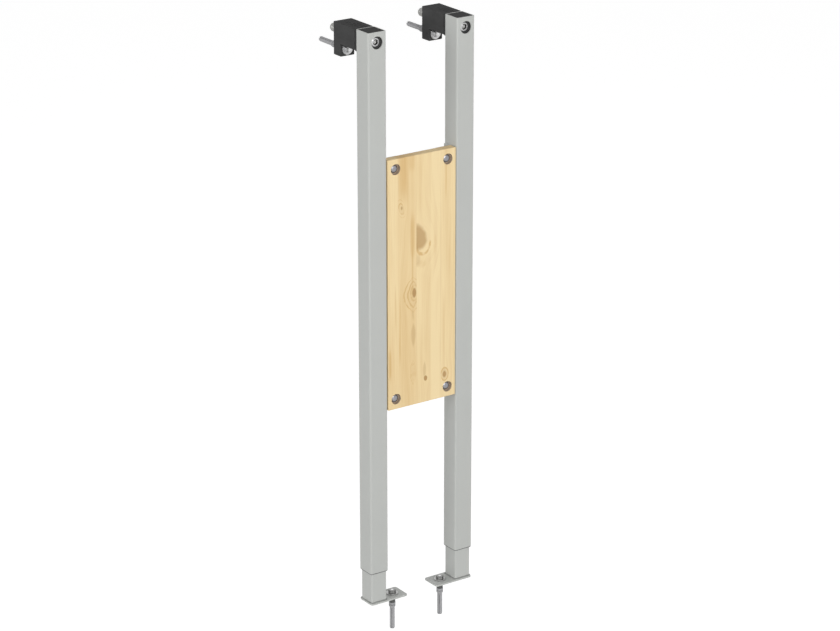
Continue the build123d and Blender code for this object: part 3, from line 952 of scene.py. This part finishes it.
class WALLFRAME_OT_timber(bpy.types.Operator):
    """Give the fixing board its pine grain"""
    bl_idname = "wallframe.timber"
    bl_label = "Finish the timber board"

    def execute(self, context):
        dress("fixing_board", pine_finish())
        return {"FINISHED"}


class WALLFRAME_OT_spindles(bpy.types.Operator):
    """Make the depth spindles with socket, thread and domed end"""
    bl_idname = "wallframe.spindles"
    bl_label = "Make the depth spindles"

    def execute(self, context):
        values = settings("fastener_settings")
        coat = settings("coat_settings")
        material = metal_finish("spindle_zinc", coat.zinc, coat.zinc_roughness, 0.2)
        # The socket wall and thread zincs are darker copies of the spindle zinc that paint shade: near black on
        # the socket's wall, dark grey on its floor and on the thread.
        socket_shade = metal_finish("socket_wall_shade", coat.socket_shade, coat.zinc_roughness, 1.0)
        dull = metal_finish("thread_shade_zinc", coat.thread, coat.zinc_roughness, 1.0)
        for side in SIDES:
            node = f"{side}_depth_spindle"
            low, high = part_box(node)
            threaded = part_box(f"{side}_depth_guide")[1].y
            points = spindle_points(values, (high.x - low.x) / 2, low.y, high.y, threaded,
                                    axis_centre(node, 1), WALL_FRAME)
            obj = finish_piece(f"{node}_turned", points, material, body_of(node), [node],
                               angle=40)
            rows, columns = points.shape[:2]
            line_rows(obj, dull, columns, *FLOOR_ROWS)
            line_rows(obj, socket_shade, columns, *WALL_ROWS)
            line_rows(obj, dull, columns, FIRST_THREAD_ROW, rows - 1)
        return {"FINISHED"}


class WALLFRAME_OT_anchors(bpy.types.Operator):
    """Make the floor and wall screws, their washers and their plugs"""
    bl_idname = "wallframe.anchors"
    bl_label = "Make the screws, washers and plugs"

    def execute(self, context):
        values = settings("fastener_settings")
        coat = settings("coat_settings")
        wall_zinc = metal_finish("wall_zinc", coat.zinc, coat.zinc_roughness, 1.0)
        # The floor screws' zinc is a darker copy of the wall zinc that paints shade.
        floor_zinc_shade = metal_finish("floor_zinc_shade", coat.floor_zinc_shade, coat.zinc_roughness, 1.0)
        # The crown zinc is a brighter copy that paints a highlight on the screw heads.
        crown = metal_finish("crown_highlight_zinc", coat.crown, coat.zinc_roughness, 1.0)
        # The floor washers' zinc is a darker copy of the wall zinc that paints shade.
        washer = metal_finish("floor_washer_shade", coat.washer, coat.zinc_roughness, 1.0)
        nylon = nylon_finish("plug_nylon", coat.nylon)
        # The rim nylon is a darker copy that paints shade: the plate's shadow on the floor plug's upper collar,
        # and the shade in its grooves.
        rim = nylon_finish("plug_shade", coat.plug_shade)
        for side in SIDES:
            self.anchor(values, f"{side}_floor", FLOOR_FRAME, 2, 1, (floor_zinc_shade, crown, washer),
                        (nylon, rim))
            self.anchor(values, f"{side}_wall", FRONT_FRAME, 1, -1, (wall_zinc, crown, wall_zinc),
                        (nylon, nylon))
        return {"FINISHED"}

    def anchor(self, values, prefix, axes, along, sign, zinc, nylon):
        """Make one screw with its washer and plug.

        The zincs are the screw's, its crown's painted highlight and the washer's, and the nylons the plug's and
        the painted shade of its rim and grooves.
        """
        nodes = [f"{prefix}_{part}" for part in ("screw", "washer", "dowel")]
        screw, washer, dowel = (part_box(node) for node in nodes)
        body = body_of(nodes[0])
        origin = axis_centre(nodes[1], along)
        heights = [sorted((sign * low[along], sign * high[along]))
                   for low, high in (screw, washer, dowel)]
        flats = (screw[1] - screw[0])[1 if along == 2 else 2]
        mouth = heights[2][1]
        base = mouth + 0.3 * MM
        seat = heights[1][1]
        surface = origin + axes[2] * base
        points = screw_points(flats, heights[0][1] - seat, values.shank / 2, seat - base,
                              heights[0][0] - base, surface, axes)
        obj = finish_piece(f"{nodes[0]}_turned", points, zinc[0], body, [nodes[0]],
                           values.edge)
        # The crown zinc paints a highlight on the middle of the head's top.
        line_rows(obj, zinc[1], points.shape[1], *CROWN_HIGHLIGHT_ROWS)
        points = washer_points((washer[1] - washer[0])[0] / 2, values.shank / 2 + 0.4 * MM,
                               heights[1][0] - base, seat - base, surface, axes)
        finish_piece(f"{nodes[1]}_pressed", points, zinc[2], body, [nodes[1]],
                     closed_rows=True)
        points = plug_points(values, (dowel[1] - dowel[0])[0] / 2, heights[2][0] - base, surface, axes)
        obj = finish_piece(f"{nodes[2]}_moulded", points, nylon[0], body, [nodes[2]],
                           angle=50)
        # The second nylon paints shade on the collar's upper part and in its grooves.
        for rows in PLUG_SHADE_ROWS:
            line_rows(obj, nylon[1], points.shape[1], *rows)


class WALLFRAME_OT_bolts(bpy.types.Operator):
    """Make the board's dome-head bolts and the nuts behind it"""
    bl_idname = "wallframe.bolts"
    bl_label = "Make the board's bolts and nuts"

    def execute(self, context):
        values = settings("fastener_settings")
        coat = settings("coat_settings")
        dulled = 0.32
        steel = metal_finish("bolt_zinc", coat.bolt, dulled, 1.0)
        zinc = metal_finish("nut_zinc", coat.zinc, dulled, 1.0)
        head = 4.0 * MM
        for side in SIDES:
            for row in ROWS:
                bolt = f"{side}_{row}_board_bolt"
                nut = f"{side}_{row}_board_nut"
                low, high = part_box(bolt)
                seat = low.y + head
                origin = axis_centre(bolt, 1) + np.array((0, seat, 0))
                points = bolt_points(values, (high.x - low.x) / 2, head, seat - high.y, origin,
                                     FRONT_FRAME)
                finish_piece(f"{bolt}_turned", points, steel, body_of(bolt), [bolt],
                             angle=40)
                low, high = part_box(nut)
                points = nut_points(high.z - low.z, values.bolt_shank / 2 + 0.1 * MM, -high.y, -low.y,
                                    axis_centre(nut, 1), FRONT_FRAME)
                finish_piece(f"{nut}_cut", points, zinc, body_of(nut), [nut],
                             values.edge, closed_rows=True)
        return {"FINISHED"}


class WALLFRAME_OT_welds(bpy.types.Operator):
    """Lay the weld beads round the feet and along the angle lugs"""
    bl_idname = "wallframe.welds"
    bl_label = "Lay the weld beads"

    def execute(self, context):
        values = settings("weld_settings")
        # The beads' dark coat paints the shade of the creases they fill.
        material = coat_finish("weld_shade_coat", settings("coat_settings").weld)
        for side in SIDES:
            self.foot_bead(values, side, material)
            for row in ROWS:
                self.lug_beads(values, side, row, material)
        return {"FINISHED"}

    def foot_bead(self, values, side, material):
        """Bead between a foot tube and its plate."""
        node = f"{side}_foot_tube"
        low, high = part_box(node)
        middle = (low + high) / 2
        path, outward, distance = square_path((high.x - low.x) / 2, values.tube_corner, 480)
        reach, rise = bead_section(values.bead, distance, values.ripple)
        x = middle.x + path[:, 0] + reach * outward[:, 0]
        y = middle.y + path[:, 1] + reach * outward[:, 1]
        points = np.stack([x, y, low.z + rise], axis=-1)
        finish_piece(f"{side}_foot_weld", points, material, body_of(node),
                     closed_rows=True, angle=60)

    def lug_beads(self, values, side, row, material):
        """Bead along the rear edge of an angle lug's side leg."""
        node = f"{side}_{row}_board_angle"
        low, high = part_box(node)
        inward = 1 if side == "left" else -1
        face = low.x if side == "left" else high.x
        distance = np.linspace(low.z + 2 * MM, high.z - 2 * MM, 90)
        reach, rise = bead_section(values.lug_bead, distance, values.ripple)
        x = face + inward * rise
        y = high.y + reach
        points = np.stack([x, y, np.broadcast_to(distance, x.shape)], axis=-1)
        finish_piece(f"{side}_{row}_lug_weld", np.swapaxes(points, 0, 1), material, body_of(node),
                     angle=60)


class WALLFRAME_OT_stage(bpy.types.Operator):
    """Set up the floor, the lamps, the world and the camera"""
    bl_idname = "wallframe.stage"
    bl_label = "Set up the stage"

    def execute(self, context):
        values = settings("studio_settings")
        scene = context.scene
        scene.view_settings.view_transform = "Standard"
        self.floor(values, scene)
        self.world(values, scene)
        self.lamp(scene, "key", values.key_place, values.key_size, values.key_power)
        self.lamp(scene, "side", values.side_place, values.side_size, values.side_power)
        camera = bpy.data.cameras.new("camera")
        camera.lens = values.lens
        camera.sensor_width = 36.0
        camera.clip_end = 100.0
        eye = bpy.data.objects.new("camera", camera)
        eye.location = values.camera_place
        eye.rotation_euler = (math.pi / 2 - values.tilt, 0, values.heading)
        scene.collection.objects.link(eye)
        scene.camera = eye
        return {"FINISHED"}

    def floor(self, values, scene):
        """Lay a pale floor just under the lowest point that the feet reach when drawn out."""
        drop = max(-joint["axis"][2] * end for joint in frame["joints"] for end in joint["range_m"])
        level = cad_box[0].z - drop - 0.5 * MM
        reach = 40.0
        mesh = bpy.data.meshes.new("floor")
        corners = [(x * reach, y * reach, level) for x, y in ((-1, -1), (1, -1), (1, 1), (-1, 1))]
        mesh.from_pydata(corners, [], [(0, 1, 2, 3)])
        floor = bpy.data.objects.new("floor", mesh)
        scene.collection.objects.link(floor)
        material = bpy.data.materials.new("floor_white")
        material.use_nodes = True
        tree = material.node_tree
        tree.nodes.clear()
        output = tree.nodes.new("ShaderNodeOutputMaterial")
        add = tree.nodes.new("ShaderNodeAddShader")
        paint = tree.nodes.new("ShaderNodeBsdfDiffuse")
        glow = tree.nodes.new("ShaderNodeEmission")
        paint.inputs["Color"].default_value = (0.55, 0.55, 0.55, 1)
        tree.links.new(seen_rays(tree, values.floor_lift), glow.inputs["Strength"])
        tree.links.new(paint.outputs[0], add.inputs[0])
        tree.links.new(glow.outputs[0], add.inputs[1])
        tree.links.new(add.outputs[0], output.inputs["Surface"])
        mesh.materials.append(material)

    def world(self, values, scene):
        """Light the frame evenly from all round, and show white where the world itself is seen."""
        world = bpy.data.worlds.new("studio")
        world.use_nodes = True
        tree = world.node_tree
        background = tree.nodes["Background"]
        background.inputs["Color"].default_value = (1, 1, 1, 1)
        parts = tree.nodes.new("ShaderNodeSeparateXYZ")
        tree.links.new(tree.nodes.new("ShaderNodeTexCoord").outputs["Generated"], parts.inputs[0])
        rise = tree.nodes.new("ShaderNodeMapRange")
        rise.interpolation_type = "SMOOTHSTEP"
        set_range(rise, (0.35, 0.85, values.round_level, values.top_level))
        tree.links.new(parts.outputs["Z"], rise.inputs["Value"])
        seen = tree.nodes.new("ShaderNodeMix")
        tree.links.new(seen_rays(tree, 1.0), seen.inputs["Factor"])
        tree.links.new(rise.outputs["Result"], seen.inputs["A"])
        seen.inputs["B"].default_value = 1.0
        tree.links.new(seen.outputs["Result"], background.inputs["Strength"])
        scene.world = world

    def lamp(self, scene, name, place, size, power):
        """Hang a square soft lamp that faces the middle of the frame."""
        lamp = bpy.data.lights.new(name, "AREA")
        lamp.size = size
        lamp.energy = power
        obj = bpy.data.objects.new(name, lamp)
        obj.location = place
        middle = (cad_box[0] + cad_box[1]) / 2
        obj.rotation_euler = (middle - Vector(place)).to_track_quat("-Z", "Y").to_euler()
        scene.collection.objects.link(obj)


def seen_rays(tree, strength):
    """Return a strength that only the camera and mirror or glass rays meet."""
    path = tree.nodes.new("ShaderNodeLightPath")
    total = path.outputs["Is Camera Ray"]
    for name in ("Is Glossy Ray", "Is Transmission Ray"):
        either = tree.nodes.new("ShaderNodeMath")
        either.operation = "MAXIMUM"
        tree.links.new(total, either.inputs[0])
        tree.links.new(path.outputs[name], either.inputs[1])
        total = either.outputs[0]
    product = tree.nodes.new("ShaderNodeMath")
    product.operation = "MULTIPLY"
    product.inputs[1].default_value = strength
    tree.links.new(total, product.inputs[0])
    return product.outputs[0]


class WALLFRAME_PT_panel(bpy.types.Panel):
    """Buttons and values of the wall frame"""
    bl_idname = "WALLFRAME_PT_panel"
    bl_label = "Wall frame"
    bl_space_type = "VIEW_3D"
    bl_region_type = "UI"
    bl_category = "Wall frame"

    def draw(self, context):
        for operator in OPERATORS:
            self.layout.operator(operator.bl_idname)
        for name, group in GROUPS.items():
            box = self.layout.box()
            box.label(text=group.__doc__)
            for key in group.__annotations__:
                box.prop(getattr(context.scene, name), key)


GROUPS = {
    "coat_settings": CoatSettings,
    "timber_settings": TimberSettings,
    "fastener_settings": FastenerSettings,
    "weld_settings": WeldSettings,
    "studio_settings": StudioSettings,
}
OPERATORS = (
    WALLFRAME_OT_coat,
    WALLFRAME_OT_plastic,
    WALLFRAME_OT_sleeves,
    WALLFRAME_OT_timber,
    WALLFRAME_OT_spindles,
    WALLFRAME_OT_anchors,
    WALLFRAME_OT_bolts,
    WALLFRAME_OT_welds,
    WALLFRAME_OT_stage,
)


def register():
    """Register the classes and hang the values on the scene."""
    for group in (*GROUPS.values(), *OPERATORS, WALLFRAME_PT_panel):
        bpy.utils.register_class(group)
    for name, group in GROUPS.items():
        setattr(bpy.types.Scene, name, PointerProperty(type=group))


def unregister():
    """Take the values and the classes away again."""
    for name in GROUPS:
        delattr(bpy.types.Scene, name)
    for group in reversed((*GROUPS.values(), *OPERATORS, WALLFRAME_PT_panel)):
        bpy.utils.unregister_class(group)


def main():
    """Dress the frame and set up the stage."""
    register()
    for operator in OPERATORS:
        category, name = operator.bl_idname.split(".")
        getattr(getattr(bpy.ops, category), name)()


if __name__ == "__main__":
    main()
